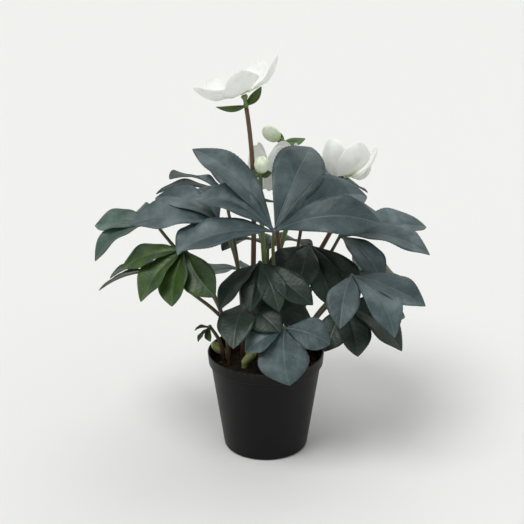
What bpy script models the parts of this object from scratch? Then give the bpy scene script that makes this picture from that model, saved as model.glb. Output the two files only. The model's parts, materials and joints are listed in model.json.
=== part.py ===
"""Hellebore in a black nursery pot, metres, +Z up, origin at the centre of the pot's base.

The viewer of the plant stands at -Y. Every leaf is a petiole and a blade of leaflets that fan from one
hub. Every bloom is a stalk, a ring of five sepals and a tuft of stamens. The stalks stand in plain holes
in the soil. The tables give places in millimetres and directions in degrees, and MM turns them to metres.
"""

import math
import random
from collections import namedtuple

import bmesh
import bpy
from mathutils import Matrix, Vector

MM = 0.001
UP = Vector((0, 0, 1))
GAP = 0.3 * MM

POT_HEIGHT = 105 * MM
POT_RIM_RADIUS = 60 * MM
POT_BASE_RADIUS = 43 * MM
POT_BAND_HEIGHT = 12 * MM
POT_BAND_STEP = 3.2 * MM
POT_WALL = 1.5 * MM
POT_SIDES = 30
SOIL_SIDES = 20
DRAIN_HOLES = 6
DRAIN_RADIUS = 4.5 * MM
DRAIN_CIRCLE = 29 * MM

SOIL_TOP = 93 * MM
SOIL_DOME = 1.5 * MM
HOLE_DEPTH = 12 * MM

PETIOLE_RADIUS = 2.2 * MM
STALK_RADIUS = 2.8 * MM
HUB_RADIUS = 2.6 * MM
KNOT_RADIUS = 2.7 * MM
HEAD_RADIUS = 3.4 * MM
NECK = 8 * MM
NECK_RADIUS = 1.9 * MM
BUD_NECK = 4 * MM
BLADE_THICKNESS = 0.8 * MM
FEWEST_ROWS = 3
ROW_EVERY = 25
TIP_CROWDING = 1.2
LEAFLET_STALK = 2.2 * MM
LEAFLET_ROLL = 0.2
ROOT_IN_HUB = 1.3 * MM
ROOT_IN_DISC = 2.4 * MM
TOOTH = 0.06
SEPAL_THICKNESS = 0.7 * MM
RECEPTACLE_RADIUS = 4.6 * MM
DISC_HEIGHT = 1.6 * MM
STAMENS = 12
STAMEN_LENGTH = 11.5
STAMEN_RADIUS = 0.45 * MM
ANTHER_RADIUS = 1.0 * MM
CUSHION_RADIUS = 3.6 * MM
CUSHION_HEIGHT = 1.8 * MM
GOLDEN_ANGLE = 2.39996
SHOOT_RISE = 6 * MM

Leaf = namedtuple("Leaf", "name root hub face leaflets colour")
Bloom = namedtuple("Bloom", "name root head axis sepal spread lean bracts")
Bud = namedtuple("Bud", "name root head axis length bracts")
Shoot = namedtuple("Shoot", "name root lean length")

# Leaf: root on the soil, hub, the way the blade faces (bearing, tilt from upright), its leaflets as
# (bearing, rise, length, width), its colour. Bearings run from +X towards +Y, so 270 points at the viewer.
LEAVES = (
    Leaf("leaf_crown_front", (16, -14), (8, -35, 246), (270, 35), (
        (196, 1, 92, 38), (156, 22, 88, 42), (142, 32, 124, 38),
        (62, 38, 112, 52), (26, 14, 112, 44), (352, 8, 102, 42)), "mature"),
    Leaf("leaf_crown_left", (-24, -2), (-46, 4, 242), (250, 34), (
        (186, 4, 88, 44), (150, 16, 80, 34), (112, 14, 74, 32), (226, -16, 58, 28)), "mature"),
    Leaf("leaf_left_low", (-38, -10), (-80, -20, 222), (240, 38), (
        (178, -16, 66, 32), (214, -38, 66, 36), (254, -44, 60, 36), (306, -30, 60, 34)), "young"),
    Leaf("leaf_left_far", (-38, 12), (-112, 26, 234), (230, 38), (
        (204, -18, 70, 36), (164, -4, 66, 34), (122, 0, 60, 30)), "mature"),
    Leaf("leaf_left_back", (-34, 26), (-98, 50, 172), (160, 15), (
        (196, -2, 78, 30), (160, -8, 74, 34), (122, -10, 66, 30)), "young"),
    Leaf("leaf_right_top", (32, 14), (76, 34, 218), (330, 12), (
        (344, -4, 92, 40), (18, 2, 96, 42), (54, 4, 84, 38), (306, -18, 72, 34)), "mature"),
    Leaf("leaf_back_top_left", (-24, 34), (-44, 84, 248), (100, 12), (
        (94, 2, 84, 40), (134, 2, 86, 40), (174, 2, 72, 34), (54, 4, 74, 32)), "mature"),
    Leaf("leaf_back_top_right", (26, 36), (46, 102, 250), (80, 15), (
        (62, 0, 80, 38), (104, 2, 80, 38), (142, 4, 48, 28), (20, -4, 70, 32)), "mature"),
    Leaf("leaf_inner_front", (-6, -22), (-6, -16, 207), (260, 20), (
        (216, -28, 62, 28), (252, -40, 52, 26), (290, -34, 56, 28), (328, -24, 68, 30)), "mature"),
    Leaf("leaf_inner_back", (2, 34), (2, 70, 196), (90, 15), (
        (50, -14, 70, 32), (92, -16, 76, 34), (134, -14, 70, 32)), "mature"),
    Leaf("leaf_inner_left", (-12, 3), (-20, -17, 165), (270, 32), (
        (259, -15, 64, 38), (305, -7, 56, 38), (351, -10, 66, 32)), "mature"),
    Leaf("leaf_inner_right", (15, 30), (45, 34, 209), (270, 38), (
        (208, -36, 57, 35), (250, -31, 59, 36), (292, -37, 74, 31), (334, -41, 74, 34)), "mature"),
    Leaf("leaf_front_small", (16, -36), (18, -52, 152), (270, 35), (
        (278, -53, 54, 50), (203, -20, 44, 30), (340, -12, 46, 34)), "mature"),
    Leaf("leaf_right_low", (32, -22), (78, -14, 160), (320, 20), (
        (240, -38, 52, 32), (284, -34, 58, 34), (330, -22, 72, 36), (14, -12, 68, 34)), "mature"),
    Leaf("leaf_right_front", (38, -4), (84, -34, 200), (315, 20), (
        (258, -26, 66, 32), (300, -22, 78, 36), (342, -14, 76, 36)), "mature"),
    Leaf("leaf_right_back", (40, 14), (92, 52, 168), (30, 15), (
        (30, -14, 76, 36), (74, -12, 72, 34), (346, -14, 66, 32)), "young"),
    Leaf("leaf_back_low", (-10, 44), (-20, 98, 156), (90, 20), (
        (88, -22, 76, 36), (42, -18, 70, 32), (134, -18, 72, 34)), "mature"),
    Leaf("leaf_rim_left", (-44, 0), (-57, -4, 133), (200, 25), (
        (184, -10, 15, 8), (222, -35, 19, 10), (268, -38, 15, 9)), "young"),
)

# Bloom: root on the soil, head, the way it faces (bearing, tilt from upright), sepal length and width,
# how far the cup is open, the stamens' lean, and its bracts as (bearing, rise, length, width, roll),
# the roll in radians about the bract's own line.
BLOOMS = (
    Bloom("bloom_tall", (-14, 12), (-21, 24, 364), (160, 22), (49, 38), 84, 50, (
        (20, 48, 24, 12, 0.7), (200, 2, 31, 11, -0.6))),
    Bloom("bloom_mid", (22, 2), (10, 50, 258), (100, 8), (50, 34), 46, 8, (
        (190, 24, 22, 13, 0), (350, 20, 22, 13, 0))),
    Bloom("bloom_right", (20, 20), (84, 86, 262), (60, 20), (42, 38), 58, 34, (
        (160, 12, 24, 12, 0), (300, 12, 24, 12, 0))),
)

# Bud: root, head, the way it faces, its length, and its bracts as above.
BUDS = (
    Bud("bud_front", (2, 4), (-5, 10, 292), (275, 40), 21, ((190, 15, 12, 9, 0), (340, 15, 12, 9, 0))),
    Bud("bud_back", (-6, 24), (16, 92, 304), (200, 55), 22, ((150, 30, 20, 10, 0), (20, 5, 24, 12, 0.5))),
)

# Shoot: root, the way its tip leans (bearing, tilt from upright), the tip's length.

SHOOTS = (
    Shoot("shoot_left", (-43, 6), (190, 46), 18),
    Shoot("shoot_front", (-22, -16), (20, 50), 17),
    Shoot("shoot_right", (34, -34), (150, 35), 18),
    Shoot("shoot_back", (12, 44), (250, 40), 16),
)

COLOURS = {
    "pot": ((0.012, 0.013, 0.014), 0.5),
    "soil": ((0.022, 0.016, 0.011), 0.95),
    "mature": ((0.045, 0.085, 0.075), 0.45),
    "young": ((0.05, 0.12, 0.035), 0.45),
    "petiole": ((0.11, 0.055, 0.03), 0.5),
    "stalk": ((0.12, 0.075, 0.035), 0.5),
    "bract": ((0.09, 0.19, 0.04), 0.5),
    "sepal": ((0.78, 0.8, 0.74), 0.5),
    "stamen": ((0.72, 0.6, 0.06), 0.6),
    "bud": ((0.66, 0.74, 0.45), 0.5),
    "shoot": ((0.3, 0.4, 0.12), 0.5),
}


def clear_scene():
    for found in list(bpy.data.objects):
        bpy.data.objects.remove(found)


def collection(name):
    made = bpy.data.collections.new(name)
    bpy.context.scene.collection.children.link(made)
    return made


def material(name):
    colour, roughness = COLOURS[name]
    made = bpy.data.materials.get(name) or bpy.data.materials.new(name)
    made.use_nodes = True
    shader = made.node_tree.nodes["Principled BSDF"]
    shader.inputs["Base Color"].default_value = (*colour, 1)
    shader.inputs["Roughness"].default_value = roughness
    shader.inputs["Metallic"].default_value = 0
    return made


def add_object(name, mesh, group, finish=None):
    made = bpy.data.objects.new(name, mesh)
    group.objects.link(made)
    if finish:
        mesh.materials.clear()
        mesh.materials.append(material(finish))
    return made


def direction(bearing, rise):
    """The unit vector that points to a bearing, at a rise above the level, both in degrees."""
    turn, climb = math.radians(bearing), math.radians(rise)
    return Vector((math.cos(turn) * math.cos(climb), math.sin(turn) * math.cos(climb), math.sin(climb)))


def place(millimetres):
    return Vector(millimetres) * MM


def evaluated_mesh(source):
    """A plain mesh of an object with its modifiers applied, and the object removed."""
    bpy.context.view_layer.update()
    graph = bpy.context.evaluated_depsgraph_get()
    mesh = bpy.data.meshes.new_from_object(source.evaluated_get(graph))
    mesh.transform(source.matrix_world)
    bpy.data.objects.remove(source)
    return mesh


def bent_sheet(name, point_at, rows, columns, thickness, group):
    """A grid laid on point_at(along, across), split into triangles and then given its thickness."""
    shape = bmesh.new()
    bmesh.ops.create_grid(shape, x_segments=rows, y_segments=columns, size=0.5)
    for vert in shape.verts:
        vert.co = point_at(1 - (0.5 - vert.co.x) ** TIP_CROWDING, vert.co.y * 2)
    bmesh.ops.remove_doubles(shape, verts=shape.verts, dist=0.05 * MM)
    bmesh.ops.triangulate(shape, faces=shape.faces)
    mesh = bpy.data.meshes.new(name)
    shape.to_mesh(mesh)
    shape.free()
    made = add_object(name, mesh, group)
    wall = made.modifiers.new("thickness", "SOLIDIFY")
    wall.thickness = thickness
    wall.offset = 0
    return made


def tube(name, points, radii, group, resolution=1):
    """A closed tube along points, as a mesh object: a bevelled curve with its caps welded on."""
    curve = bpy.data.curves.new(name, "CURVE")
    curve.dimensions = "3D"
    curve.bevel_depth = 1
    curve.bevel_resolution = resolution
    curve.use_fill_caps = True
    spline = curve.splines.new("POLY")
    spline.points.add(len(points) - 1)
    for knot, point, radius in zip(spline.points, points, radii):
        knot.co = (*point, 1)
        knot.radius = radius
    mesh = evaluated_mesh(add_object(name + "_path", curve, group))
    shape = bmesh.new()
    shape.from_mesh(mesh)
    bmesh.ops.remove_doubles(shape, verts=shape.verts, dist=0.01 * MM)
    bmesh.ops.recalc_face_normals(shape, faces=shape.faces)
    shape.to_mesh(mesh)
    shape.free()
    return add_object(name, mesh, group)


def ball(name, centre, radii, group, axis=UP, segments=8, rings=5):
    """A stretched sphere, its pole along axis."""
    shape = bmesh.new()
    bmesh.ops.create_uvsphere(shape, u_segments=segments, v_segments=rings, radius=1)
    turn = UP.rotation_difference(axis).to_matrix().to_4x4()
    shape.transform(Matrix.Translation(centre) @ turn @ Matrix.Diagonal((*radii, 1)))
    mesh = bpy.data.meshes.new(name)
    shape.to_mesh(mesh)
    shape.free()
    return add_object(name, mesh, group)


def fused(name, core, repeats, group, finish):
    """The core and every object of the repeats collection as one closed body."""
    join = core.modifiers.new("fuse", "BOOLEAN")
    join.operation = "UNION"
    join.operand_type = "COLLECTION"
    join.collection = repeats
    join.solver = "MANIFOLD"
    mesh = evaluated_mesh(core)
    for extra in list(repeats.objects):
        bpy.data.objects.remove(extra)
    return add_object(name, mesh, group, finish)


def stem_path(root, top, arrive, steps):
    """Points from the soil to top: upright through the soil, then one curve that arrives along arrive."""
    ground = Vector((root[0] * MM, root[1] * MM, SOIL_TOP + 3 * MM))
    reach = (top - ground).length
    first = ground + UP * reach * 0.45
    second = top - arrive * reach * 0.3
    points = [ground - UP * (HOLE_DEPTH + 2.5 * MM)]
    for step in range(steps + 1):
        t = step / steps
        s = 1 - t
        points.append(ground * s**3 + first * 3 * s * s * t + second * 3 * s * t * t + top * t**3)
    return points


def leaflet_outline(along):
    """Half the width at along, as a share of the widest: narrow at the stalk, widest past the middle."""
    return math.sin(math.pi * along**1.25) ** 0.85 if 0 < along < 1 else 0


def leaflet_rows(length):
    """Rows of faces along a leaflet of this length in millimetres."""
    return FEWEST_ROWS + length // ROW_EVERY


def leaflet_surface(hub, face, leaflet):
    """The mid surface of one leaflet as a function of along and across."""
    bearing, rise, length, width = leaflet
    rows = leaflet_rows(length)
    forward = direction(bearing, rise)
    lift = (face - forward * face.dot(forward)).normalized()
    lift = Matrix.Rotation(LEAFLET_ROLL, 3, forward) @ lift
    side = lift.cross(forward)
    length, half_width = length * MM, width * MM / 2
    draw = random.Random(f"{bearing} {rise} {length}")
    arch, droop = draw.uniform(0.06, 0.13) * length, draw.uniform(0.04, 0.2) * length
    fold, sweep, phase = draw.uniform(0.14, 0.3), draw.uniform(-0.07, 0.07), draw.uniform(0, 6)

    def point_at(along, across):
        half = max(half_width * leaflet_outline(along), LEAFLET_STALK / 2 if along < 0.5 else 0)
        row = round(rows * (1 - (1 - along) ** (1 / TIP_CROWDING)))
        if abs(across) > 0.99 and 0.3 < along < 0.99:
            half *= 1 + (TOOTH if row % 2 else -TOOTH)
        run = along + 0.05 * abs(across) * math.sin(math.pi * along)
        height = arch * 4 * run * (1 - run) - droop * run**3 + fold * abs(across) * half
        height += 0.09 * half_width * across * abs(across) * math.sin(13 * run + phase) * min(1, 3 * run)
        aside = half * across + sweep * length * math.sin(math.pi * run * 0.8)
        return hub + forward * (ROOT_IN_HUB + length * run) + side * aside + lift * height

    return point_at


def leaf_face(leaf):
    bearing, tilt = leaf.face
    return direction(bearing, 90 - tilt)


def add_leaf(leaf, group, repeats):
    hub = place(leaf.hub)
    face = leaf_face(leaf)
    for index, leaflet in enumerate(leaf.leaflets):
        surface = leaflet_surface(hub, face, leaflet)
        bent_sheet(f"leaflet_{index}", surface, leaflet_rows(leaflet[2]), 2, BLADE_THICKNESS, repeats)
    knot = ball("hub", hub, [HUB_RADIUS] * 3, group, face, 6, 4)
    fused(leaf.name + "_blade", knot, repeats, group, leaf.colour)
    outward = Vector((leaf.hub[0], leaf.hub[1], 0)).normalized()
    arrive = (UP * 0.75 + outward * 0.5 + face * 0.2).normalized()
    end = hub - arrive * (HUB_RADIUS + GAP)
    points = stem_path(leaf.root, end, arrive, 5)
    radii = [PETIOLE_RADIUS * (1 - 0.05 * step) for step in range(len(points))]
    stem = tube(leaf.name + "_petiole", points, radii, group)
    stem.data.materials.append(material("petiole"))


def bract_surface(base, axis, bract):
    """A small leaf under a flower: it starts narrow at base and bows away from the flower's axis."""
    bearing, rise, length, width, roll = bract
    forward = direction(bearing, rise)
    lift = (axis - forward * axis.dot(forward)).normalized()
    lift = Matrix.Rotation(roll, 3, forward) @ lift
    side = lift.cross(forward)

    def point_at(along, across):
        shoulder = math.sin(math.pi * along**0.9) ** 0.9 if 0 < along < 1 else 0
        half = width * MM / 2 * max(shoulder, 0.25 if along < 0.3 else 0)
        bow = 0.16 * length * MM * 4 * along * (1 - along) - 0.3 * abs(across) * half
        return base + forward * length * MM * along + side * half * across - lift * bow

    return point_at


def add_stalk(owner, top, axis, finish, group):
    """A flower stalk from its hole in the soil to top."""
    points = stem_path(owner.root, top, axis, 6)
    radii = [STALK_RADIUS * (1 - 0.035 * step) for step in range(len(points))]
    core = tube(owner.name + "_stalk", points, radii, group)
    core.data.materials.append(material(finish))
    return core


def add_bracts(owner, core, knot, head, axis, radius, repeats):
    """The bracts and the swollen end under the sepals, fused with the core that carries them."""
    for index, bract in enumerate(owner.bracts):
        bent_sheet(f"bract_{index}", bract_surface(knot, axis, bract), 4, 2, BLADE_THICKNESS, repeats)
    ball("knot", knot, [KNOT_RADIUS] * 3, repeats, axis, 8, 4)
    ball("receptacle", head, (radius, radius, radius * 0.85), repeats, axis, 8, 4)
    return core


def sepal_surface(base, axis, turn, size, spread, roll):
    """One cupped sepal: it leaves the axis at the spread angle, rolled so that neighbours overlap."""
    reference = axis.orthogonal().normalized()
    outward = Matrix.Rotation(turn, 3, axis) @ reference
    side_flat = axis.cross(outward)
    length, half_width = size[0] * MM, size[1] * MM / 2

    def point_at(along, across):
        open_angle = math.radians(min(spread + 24 * (1 - along) - 20 * along, 86))
        forward = outward * math.sin(open_angle) + axis * math.cos(open_angle)
        lift = axis * math.sin(open_angle) - outward * math.cos(open_angle)
        turned_by = roll * min(1, 2.5 * along)
        side = side_flat * math.cos(turned_by) + lift * math.sin(turned_by)
        half = half_width * max(math.sin(math.pi * along**0.85 * 0.985 + 0.015) ** 0.62, 0.2)
        cup = 0.34 * half * across * across
        return base + forward * (ROOT_IN_DISC + length * along) + side * half * across + lift * cup

    return point_at


def add_bloom(bloom, group, repeats):
    axis = direction(bloom.axis[0], 90 - bloom.axis[1])
    head = place(bloom.head)
    rising = (axis + UP * 1.3).normalized()
    knot = head - rising * NECK
    add_stalk(bloom, knot - rising * (KNOT_RADIUS + GAP), rising, "stalk", group)
    neck = tube("neck", [knot, head], [NECK_RADIUS] * 2, group)
    add_bracts(bloom, neck, knot, head, axis, HEAD_RADIUS, repeats)
    fused(bloom.name + "_bracts", neck, repeats, group, "bract")
    seat = head + axis * (HEAD_RADIUS * 0.85 + GAP)
    sheet_base = seat + axis * DISC_HEIGHT
    roll = 0.16 + (74 - bloom.spread) * 0.009
    for index in range(5):
        turn = math.tau * index / 5 + 0.3
        surface = sepal_surface(sheet_base, axis, turn, bloom.sepal, bloom.spread, roll)
        bent_sheet(f"sepal_{index}", surface, 5, 4, SEPAL_THICKNESS, repeats)
    disc = ball("disc", sheet_base, (RECEPTACLE_RADIUS, RECEPTACLE_RADIUS, DISC_HEIGHT), group, axis, 10, 4)
    fused(bloom.name + "_sepals", disc, repeats, group, "sepal")
    add_stamens(bloom, sheet_base + axis * (DISC_HEIGHT + GAP), axis, group, repeats)


def add_stamens(bloom, base, axis, group, repeats):
    """A tuft of stamens on a small cushion, set by the golden angle, with the carpels in the middle."""
    draw = random.Random(bloom.name)
    reference = axis.orthogonal().normalized()
    for index in range(STAMENS):
        share = math.sqrt((index + 0.5) / STAMENS)
        outward = Matrix.Rotation(index * GOLDEN_ANGLE, 3, axis) @ reference
        lean = math.radians(6 + bloom.lean * share)
        forward = outward * math.sin(lean) + axis * math.cos(lean)
        start = base + axis * CUSHION_HEIGHT * 0.6 + outward * 2.6 * MM * share
        length = (STAMEN_LENGTH - 2 * share + draw.uniform(-0.8, 0.8)) * MM
        points = [start, start + forward * length * 0.8, start + forward * length]
        tube(f"stamen_{index}", points, [STAMEN_RADIUS, STAMEN_RADIUS, ANTHER_RADIUS], repeats, 0)
    size = (CUSHION_RADIUS, CUSHION_RADIUS, CUSHION_HEIGHT)
    cushion = ball("cushion", base + axis * CUSHION_HEIGHT, size, group, axis, 8, 4)
    fused(bloom.name + "_stamens", cushion, repeats, group, "stamen")


def add_bud(bud, group, repeats):
    axis = direction(bud.axis[0], 90 - bud.axis[1])
    head = place(bud.head)
    stalk = add_stalk(bud, head, axis, "bract", group)
    add_bracts(bud, stalk, head - axis * BUD_NECK, head, axis, KNOT_RADIUS, repeats)
    stalk.name = "stalk_core"
    fused(bud.name + "_stalk", stalk, repeats, group, "bract")
    half = bud.length * MM / 2
    centre = head + axis * (half + KNOT_RADIUS * 0.85 + GAP)
    body = ball(bud.name + "_head", centre, (half * 0.72, half * 0.72, half), group, axis, 10, 7)
    body.data.materials.append(material("bud"))


def add_shoot(shoot, group, repeats):
    """A short pale shoot that breaks from the crown, its tip a closed bud."""
    lean, tilt = shoot.lean
    axis = direction(lean, 90 - tilt)
    top = Vector((shoot.root[0] * MM, shoot.root[1] * MM, SOIL_TOP + SHOOT_RISE))
    points = [top - UP * (HOLE_DEPTH + SHOOT_RISE - 0.5 * MM), top - UP * 2 * MM, top + axis * 4 * MM]
    core = tube("shoot", points, [STALK_RADIUS] * 3, group)
    half = shoot.length * MM / 2
    ball("tip", top + axis * half, (half * 0.5, half * 0.5, half), repeats, axis, 8, 6)
    fused(shoot.name, core, repeats, group, "shoot")


def pot_profile():
    """The half outline of the pot, down its outer side and up its inner side, as (radius, height)."""
    band_low = POT_HEIGHT - POT_BAND_HEIGHT
    wall_top = POT_RIM_RADIUS - POT_BAND_STEP
    inner_base = POT_BASE_RADIUS - POT_WALL
    return [
        (0, POT_WALL), (inner_base, POT_WALL), (wall_top - POT_WALL, band_low),
        (POT_RIM_RADIUS - POT_WALL * 1.3, POT_HEIGHT - 1 * MM), (POT_RIM_RADIUS - POT_WALL, POT_HEIGHT),
        (POT_RIM_RADIUS - 0.4 * MM, POT_HEIGHT), (POT_RIM_RADIUS, POT_HEIGHT - 0.6 * MM),
        (POT_RIM_RADIUS - 1 * MM, band_low + 0.6 * MM), (POT_RIM_RADIUS - 1.8 * MM, band_low),
        (wall_top, band_low - 0.5 * MM),
        (POT_BASE_RADIUS + 0.5 * MM, 2 * MM), (POT_BASE_RADIUS - 1.5 * MM, 0), (0, 0),
    ]


def turned(name, profile, sides, group):
    """A closed body of revolution about Z from a profile whose two ends lie on the axis."""
    mesh = bpy.data.meshes.new(name)
    points = [(radius, 0, height) for radius, height in profile]
    mesh.from_pydata(points, [(i, i + 1) for i in range(len(points) - 1)], [])
    made = add_object(name, mesh, group)
    screw = made.modifiers.new("turn", "SCREW")
    screw.steps = screw.render_steps = sides
    screw.use_merge_vertices = True
    screw.merge_threshold = 0.01 * MM
    screw.use_normal_calculate = True
    mesh = evaluated_mesh(made)
    shape = bmesh.new()
    shape.from_mesh(mesh)
    bmesh.ops.remove_doubles(shape, verts=shape.verts, dist=0.01 * MM)
    bmesh.ops.recalc_face_normals(shape, faces=shape.faces)
    shape.to_mesh(mesh)
    shape.free()
    return add_object(name, mesh, group)


def peg(name, centre, radius, height, group, sides):
    shape = bmesh.new()
    bmesh.ops.create_cone(
        shape, cap_ends=True, segments=sides, radius1=radius, radius2=radius, depth=height,
        matrix=Matrix.Translation(centre))
    mesh = bpy.data.meshes.new(name)
    shape.to_mesh(mesh)
    shape.free()
    return add_object(name, mesh, group)


def cut(name, body, cutters, group, finish):
    """The body with every object of the cutters collection taken out of it."""
    take = body.modifiers.new("cut", "BOOLEAN")
    take.operation = "DIFFERENCE"
    take.operand_type = "COLLECTION"
    take.collection = cutters
    take.solver = "MANIFOLD"
    mesh = evaluated_mesh(body)
    for cutter in list(cutters.objects):
        bpy.data.objects.remove(cutter)
    return add_object(name, mesh, group, finish)


def add_pot(group, cutters):
    body = turned("pot_body", pot_profile(), POT_SIDES, group)
    for index in range(DRAIN_HOLES):
        turn = math.tau * (index + 0.5) / DRAIN_HOLES
        centre = Vector((math.cos(turn) * DRAIN_CIRCLE, math.sin(turn) * DRAIN_CIRCLE, POT_WALL / 2))
        peg(f"drain_{index}", centre, DRAIN_RADIUS, POT_WALL * 3, cutters, 8)
    cut("pot", body, cutters, group, "pot")


def add_soil(roots, group, cutters):
    """The peat root ball: it fills the pot, is domed a little, and has a plain hole for each stalk."""
    floor = POT_WALL + GAP
    wall_top = POT_RIM_RADIUS - POT_BAND_STEP - POT_WALL
    inner_base = POT_BASE_RADIUS - POT_WALL
    slope = (wall_top - inner_base) / (POT_HEIGHT - POT_BAND_HEIGHT - POT_WALL)
    clearance = GAP * 1.6
    edge_height = SOIL_TOP - SOIL_DOME * 1.5
    profile = [
        (0, SOIL_TOP), (wall_top * 0.6, SOIL_TOP - 0.2 * MM), (wall_top - 5 * MM, SOIL_TOP - SOIL_DOME),
        (inner_base + slope * (edge_height - POT_WALL) - clearance, edge_height),
        (inner_base - clearance, floor), (0, floor),
    ]
    body = turned("soil_body", profile, SOIL_SIDES, group)
    for index, (x, y, radius) in enumerate(roots):
        height = HOLE_DEPTH * 2
        centre = Vector((x * MM, y * MM, SOIL_TOP))
        peg(f"hole_{index}", centre, (radius + GAP) / math.cos(math.pi / 6), height, cutters, 6)
    cut("soil", body, cutters, group, "soil")


def build():
    clear_scene()
    plant = collection("hellebore")
    repeats = collection("repeats")
    add_pot(plant, repeats)
    roots = [(*leaf.root, PETIOLE_RADIUS) for leaf in LEAVES]
    roots += [(*owner.root, STALK_RADIUS) for owner in BLOOMS + BUDS + SHOOTS]
    add_soil(roots, plant, repeats)
    for leaf in LEAVES:
        add_leaf(leaf, plant, repeats)
    for bloom in BLOOMS:
        add_bloom(bloom, plant, repeats)
    for bud in BUDS:
        add_bud(bud, plant, repeats)
    for shoot in SHOOTS:
        add_shoot(shoot, plant, repeats)
    bpy.data.collections.remove(repeats)


build()
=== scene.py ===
"""The looks of a potted hellebore: finer leaves, blooms, stalks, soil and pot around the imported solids.

It follows the plant as it is put together: pot, peat, leaves, blooms, buds, shoots, then the studio.
Places are given in millimetres, which MM turns to metres, and directions in degrees.
"""

import json
import math
import random
from collections import namedtuple

import bmesh
import bpy
from mathutils import Matrix, Vector

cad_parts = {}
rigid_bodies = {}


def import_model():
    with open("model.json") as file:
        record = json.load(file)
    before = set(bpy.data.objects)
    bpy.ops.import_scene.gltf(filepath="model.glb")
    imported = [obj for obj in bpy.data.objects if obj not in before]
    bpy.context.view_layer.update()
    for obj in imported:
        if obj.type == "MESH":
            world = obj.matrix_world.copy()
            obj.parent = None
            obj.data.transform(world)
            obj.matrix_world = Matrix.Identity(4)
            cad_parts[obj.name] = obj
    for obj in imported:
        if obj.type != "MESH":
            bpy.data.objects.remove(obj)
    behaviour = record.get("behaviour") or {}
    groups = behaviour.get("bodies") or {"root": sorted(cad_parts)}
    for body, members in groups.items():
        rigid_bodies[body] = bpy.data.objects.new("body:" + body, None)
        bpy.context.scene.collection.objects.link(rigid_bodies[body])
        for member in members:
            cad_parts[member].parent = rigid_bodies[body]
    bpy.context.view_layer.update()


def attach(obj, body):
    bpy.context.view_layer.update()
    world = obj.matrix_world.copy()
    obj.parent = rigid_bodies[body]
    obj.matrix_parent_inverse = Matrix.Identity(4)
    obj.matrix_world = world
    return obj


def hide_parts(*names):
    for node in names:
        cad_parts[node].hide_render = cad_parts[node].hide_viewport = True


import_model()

# Pot: one thin wall of black polypropylene, injection moulded, with a stepped rim band that lets pots
# nest and be gripped by machines. It has a flat base with drainage holes, and is dusty from potting.
MM = 0.001
UP = Vector((0, 0, 1))
POT_HEIGHT = 105 * MM
POT_RIM_RADIUS = 60 * MM
POT_BASE_RADIUS = 43 * MM
POT_BAND_HEIGHT = 12 * MM
POT_BAND_STEP = 3.2 * MM
POT_WALL = 1.5 * MM
POT_CORNER = 0.8 * MM
POT_SIDES = 120
POT_SHARP = 50
DRAIN_HOLES = 6
DRAIN_RADIUS = 4.5 * MM
DRAIN_CIRCLE = 29 * MM


def linear(code):
    """An sRGB hex colour as linear red, green, blue and alpha."""
    values = [int(code[i : i + 2], 16) / 255 for i in (0, 2, 4)]
    return (*[v / 12.92 if v <= 0.04045 else ((v + 0.055) / 1.055) ** 2.4 for v in values], 1)


def add_node(tree, kind, inputs, out=0, stops=(), **settings):
    """One output of a new node. Each input, by name or number, is set to a value or linked to an output.

    The settings are the node's own properties, and stops are a colour ramp's (position, hex colour).
    """
    node = tree.nodes.new(kind)
    for key, value in settings.items():
        setattr(node, key, value)
    for key, value in inputs.items():
        if isinstance(value, bpy.types.NodeSocket):
            tree.links.new(value, node.inputs[key])
        else:
            node.inputs[key].default_value = value
    for _ in stops[2:]:
        node.color_ramp.elements.new(0.5)
    for index, (position, code) in enumerate(stops):
        node.color_ramp.elements[index].position = position
        node.color_ramp.elements[index].color = linear(code)
    return node.outputs[out]


def new_material(name, **values):
    """A material with its Principled shader set from values, and the nodes that its patterns start from."""
    made = bpy.data.materials.new(name)
    made.use_nodes = True
    tree = made.node_tree
    shader = tree.nodes["Principled BSDF"]
    for socket, value in values.items():
        shader.inputs[socket.replace("_", " ")].default_value = value
    return made, tree, shader, add_node(tree, "ShaderNodeTexCoord", {}, "Object")


def painted(tree, shader, colour, relief=None, strength=0, depth=0):
    """Gives a material its colour and, where there is a relief, a bump of that strength and depth."""
    tree.links.new(colour, shader.inputs["Base Color"])
    if relief:
        bump = {"Height": relief, "Strength": strength, "Distance": depth}
        tree.links.new(add_node(tree, "ShaderNodeBump", bump), shader.inputs["Normal"])


def meshed(name, shape, finish=None):
    """The mesh of a shape, with one material number on all its faces where one is given."""
    if finish is not None:
        for face in shape.faces:
            face.material_index = finish
    mesh = bpy.data.meshes.new(name)
    shape.to_mesh(mesh)
    shape.free()
    return mesh


def baked(source):
    """A plain mesh of an object with its modifiers applied, the object removed."""
    bpy.context.view_layer.update()
    graph = bpy.context.evaluated_depsgraph_get()
    mesh = bpy.data.meshes.new_from_object(source.evaluated_get(graph))
    mesh.transform(source.matrix_world)
    bpy.data.objects.remove(source)
    return mesh


def scene_object(name, data, *materials):
    made = bpy.data.objects.new(name, data)
    bpy.context.scene.collection.objects.link(made)
    if materials:
        data.materials.clear()
        for finish in materials:
            data.materials.append(finish)
    return made


def grown(name, mesh, node, slot, *materials, smooth=True):
    """The finished piece that stands for a node of the frame."""
    if smooth:
        mesh.shade_smooth()
    made = scene_object(name, mesh, *materials)
    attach(made, "root")
    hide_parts(node)
    return made


def turned_mesh(name, profile, sides):
    """A closed body of revolution about Z from a profile whose two ends lie on the axis."""
    shape = bmesh.new()
    ring = [shape.verts.new((radius, 0, height)) for radius, height in profile]
    edges = [shape.edges.new(pair) for pair in zip(ring, ring[1:])]
    bmesh.ops.spin(shape, geom=ring + edges, cent=(0, 0, 0), axis=UP, angle=math.tau, steps=sides)
    bmesh.ops.remove_doubles(shape, verts=shape.verts, dist=0.01 * MM)
    bmesh.ops.dissolve_degenerate(shape, edges=shape.edges, dist=0.005 * MM)
    bmesh.ops.recalc_face_normals(shape, faces=shape.faces)
    return meshed(name, shape)


def place_at(millimetres):
    return Vector(millimetres) * MM


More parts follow.
